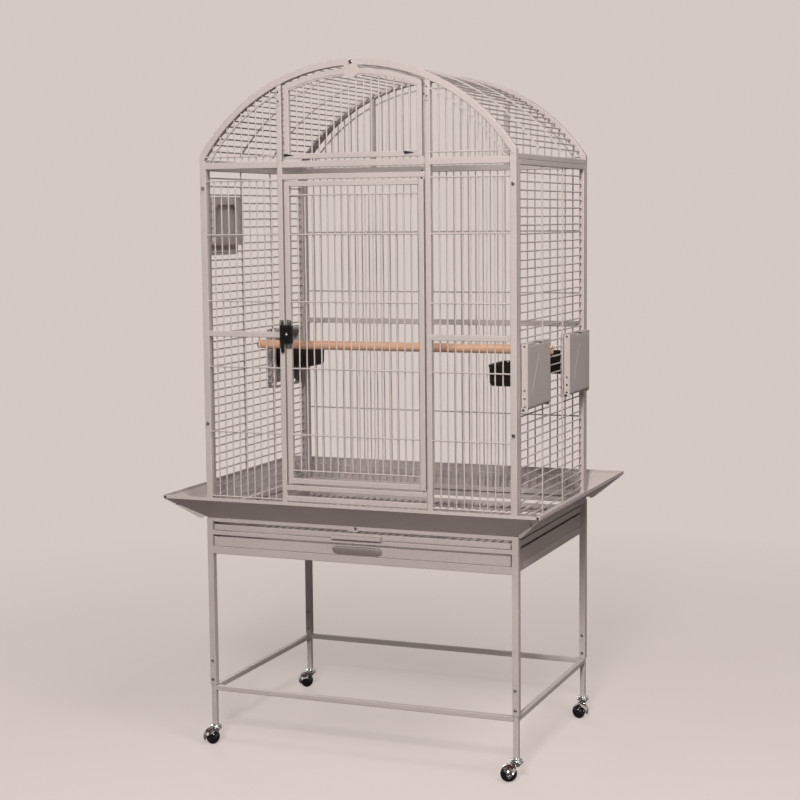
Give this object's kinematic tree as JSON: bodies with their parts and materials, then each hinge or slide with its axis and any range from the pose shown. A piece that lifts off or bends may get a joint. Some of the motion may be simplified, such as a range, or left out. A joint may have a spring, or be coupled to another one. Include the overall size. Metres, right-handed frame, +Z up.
{
  "type": "dome top parrot cage",
  "caption": "Domed wire parrot cage on a rolling stand, with a front door, top hatch, tilt-out feeders, perch, seed guard, and slide-out grate and tray.",
  "frame": {"origin": "on the floor under the middle of the cage", "axes": "+Z up, front of the cage (main door) towards -Y, +X to the right of someone facing the front"},
  "size_m": [0.973, 0.7438, 1.7002],
  "materials": {
    "coat": "light warm grey hammered powder coat",
    "bright": "bright plated steel",
    "black_plastic": "satin black moulded plastic",
    "wheel_black": "black moulded wheel",
    "timber": "plain turned hardwood"
  },
  "bodies": {
    "cage": {"dome_arches": "coat", "front_frame": "coat", "front_left_bars": "coat", "front_right_bars": "coat", "front_dome_bars": "coat", "back_frame": "coat", "back_bars": "coat", "left_frame": "coat", "left_bars": "coat", "right_frame": "coat", "right_bars": "coat", "roof_rails": "coat", "roof_bars": "coat", "feeder_frames": "coat", "nest_frame": "coat", "guard_front": "coat", "guard_back": "coat", "guard_left": "coat", "guard_right": "coat", "stand_front": "coat", "stand_back": "coat", "left_runner": "coat", "right_runner": "coat", "lower_frame": "coat", "panel_bolts": "bright", "door_pins": "bright", "latch_keeper": "bright", "pivot_screws": "bright", "side_pins": "bright", "guard_screws": "bright", "leg_bolts": "bright", "caster_stems": "bright", "perch": "timber"},
    "door": {"door_frame": "coat", "door_bars": "coat", "latch_plate": "bright"},
    "latch": {"latch_lever": "black_plastic"},
    "hatch": {"hatch_frame": "coat", "hatch_bars": "coat"},
    "disc": {"catch_disc": "coat"},
    "feeder_front_right": {"feeder_door_front_right": "coat", "cup_front_right": "black_plastic"},
    "feeder_rear_right": {"feeder_door_rear_right": "coat", "cup_rear_right": "black_plastic"},
    "feeder_rear_left": {"feeder_door_rear_left": "coat", "cup_rear_left": "black_plastic"},
    "nest_flap": {"nest_door": "coat"},
    "grate_drawer": {"grate": "coat", "grate_pull": "coat"},
    "tray_drawer": {"tray": "coat", "tray_pull": "coat"},
    "catch": {"drawer_catch": "coat"},
    "swivel_front_left": {"hood_front_left": "bright"},
    "wheel_front_left": {"wheels_front_left": "wheel_black"},
    "swivel_front_right": {"hood_front_right": "bright"},
    "wheel_front_right": {"wheels_front_right": "wheel_black"},
    "swivel_rear_right": {"hood_rear_right": "bright"},
    "wheel_rear_right": {"wheels_rear_right": "wheel_black"},
    "swivel_rear_left": {"hood_rear_left": "bright"},
    "wheel_rear_left": {"wheels_rear_left": "wheel_black"}
  },
  "joints": [
    {"name": "door_hinge", "type": "hinge", "parent": "cage", "child": "door", "pos_m": [0.173, -0.287, 1.0512], "axis": [0, 0, 1], "range_deg": [0, 110]},
    {"name": "latch_turn", "type": "hinge", "parent": "door", "child": "latch", "pos_m": [-0.173, -0.3004, 1.05025], "axis": [0, 1, 0], "range_deg": [0, 90]},
    {"name": "hatch_pivot", "type": "hinge", "parent": "cage", "child": "hatch", "pos_m": [0, -0.287, 1.61244], "axis": [-1, 0, 0], "range_deg": [0, 100]},
    {"name": "disc_swing", "type": "hinge", "parent": "cage", "child": "disc", "pos_m": [0, -0.29465, 1.6922], "axis": [0, 1, 0], "range_deg": [-150, 150]},
    {"name": "feeder_front_right_tilt", "type": "hinge", "parent": "cage", "child": "feeder_front_right", "pos_m": [0.412, -0.172, 0.88125], "axis": [0, 1, 0], "range_deg": [0, 70]},
    {"name": "feeder_rear_right_tilt", "type": "hinge", "parent": "cage", "child": "feeder_rear_right", "pos_m": [0.412, 0.172, 0.88125], "axis": [0, 1, 0], "range_deg": [0, 70]},
    {"name": "feeder_rear_left_tilt", "type": "hinge", "parent": "cage", "child": "feeder_rear_left", "pos_m": [-0.412, 0.172, 0.88125], "axis": [0, -1, 0], "range_deg": [0, 70]},
    {"name": "nest_flap_hinge", "type": "hinge", "parent": "cage", "child": "nest_flap", "pos_m": [-0.409, -0.1685, 1.37026], "axis": [0, 1, 0], "range_deg": [0, 90]},
    {"name": "grate_slide", "type": "slide", "parent": "cage", "child": "grate_drawer", "axis": [0, -1, 0], "range_m": [0, 0.48]},
    {"name": "tray_slide", "type": "slide", "parent": "cage", "child": "tray_drawer", "axis": [0, -1, 0], "range_m": [0, 0.48]},
    {"name": "catch_turn", "type": "hinge", "parent": "cage", "child": "catch", "pos_m": [-0.002, -0.29215, 0.584], "axis": [0, -1, 0], "range_deg": [0, 20]},
    {"name": "swivel_front_left", "type": "hinge", "parent": "cage", "child": "swivel_front_left", "pos_m": [-0.4005, -0.283, 0.05], "axis": [0, 0, 1], "continuous": true},
    {"name": "roll_front_left", "type": "hinge", "parent": "swivel_front_left", "child": "wheel_front_left", "pos_m": [-0.41679, -0.27321, 0.02], "axis": [-0.515, -0.8572, 0], "continuous": true},
    {"name": "swivel_front_right", "type": "hinge", "parent": "cage", "child": "swivel_front_right", "pos_m": [0.4005, -0.283, 0.05], "axis": [0, 0, 1], "continuous": true},
    {"name": "roll_front_right", "type": "hinge", "parent": "swivel_front_right", "child": "wheel_front_right", "pos_m": [0.38288, -0.29012, 0.02], "axis": [0.3746, -0.9272, 0], "continuous": true},
    {"name": "swivel_rear_right", "type": "hinge", "parent": "cage", "child": "swivel_rear_right", "pos_m": [0.4005, 0.283, 0.05], "axis": [0, 0, 1], "continuous": true},
    {"name": "roll_rear_right", "type": "hinge", "parent": "swivel_rear_right", "child": "wheel_rear_right", "pos_m": [0.3972, 0.26429, 0.02], "axis": [0.9848, -0.1736, 0], "continuous": true},
    {"name": "swivel_rear_left", "type": "hinge", "parent": "cage", "child": "swivel_rear_left", "pos_m": [-0.4005, 0.283, 0.05], "axis": [0, 0, 1], "continuous": true},
    {"name": "roll_rear_left", "type": "hinge", "parent": "swivel_rear_left", "child": "wheel_rear_left", "pos_m": [-0.41772, 0.29103, 0.02], "axis": [-0.4226, -0.9063, 0], "continuous": true}
  ]
}
